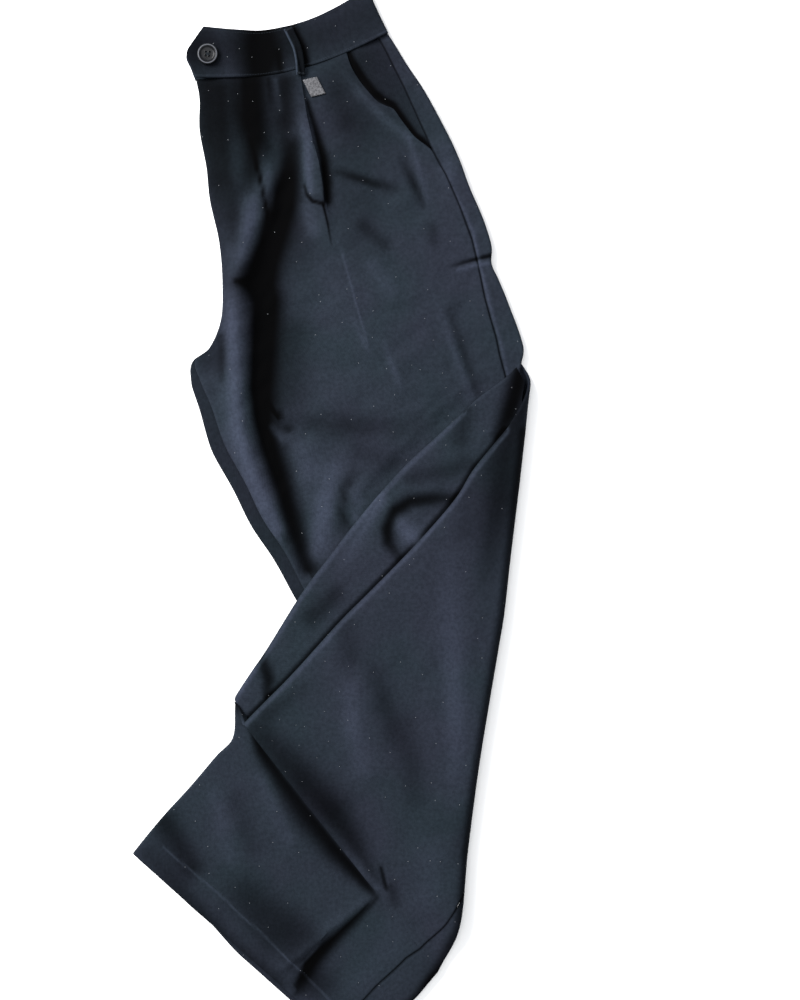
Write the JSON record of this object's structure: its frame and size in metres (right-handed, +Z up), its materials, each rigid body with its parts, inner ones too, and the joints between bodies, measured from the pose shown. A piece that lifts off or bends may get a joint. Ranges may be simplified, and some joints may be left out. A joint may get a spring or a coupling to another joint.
{
  "type": "trousers",
  "caption": "Pleated wide-leg trousers in plain dark cloth, folded in half and laid flat, with both legs turned back over the thighs near the knee.",
  "frame": {"origin": "under the middle of the laid garment's box, on the surface it lies on", "axes": "+Y from the hems to the waist, +X from the fly to the hip, +Z up off the surface"},
  "size_m": [0.3454, 0.9298, 0.0237],
  "materials": {
    "cloth": "plain fine suiting, soft sheen",
    "button": "glossy",
    "tab": "plain woven"
  },
  "bodies": {
    "root": {"left_front": "cloth", "left_back": "cloth", "pocket_facing": "cloth", "inner_thigh": "cloth", "waistband_left": "cloth", "waistband_back": "cloth", "waistband_right": "cloth", "belt_loop": "cloth", "side_tab": "tab", "button": "button", "left_calf_back": "cloth", "right_calf_front": "cloth", "right_calf_back": "cloth", "inner_calf": "cloth", "left_hem": "cloth"}
  },
  "joints": []
}
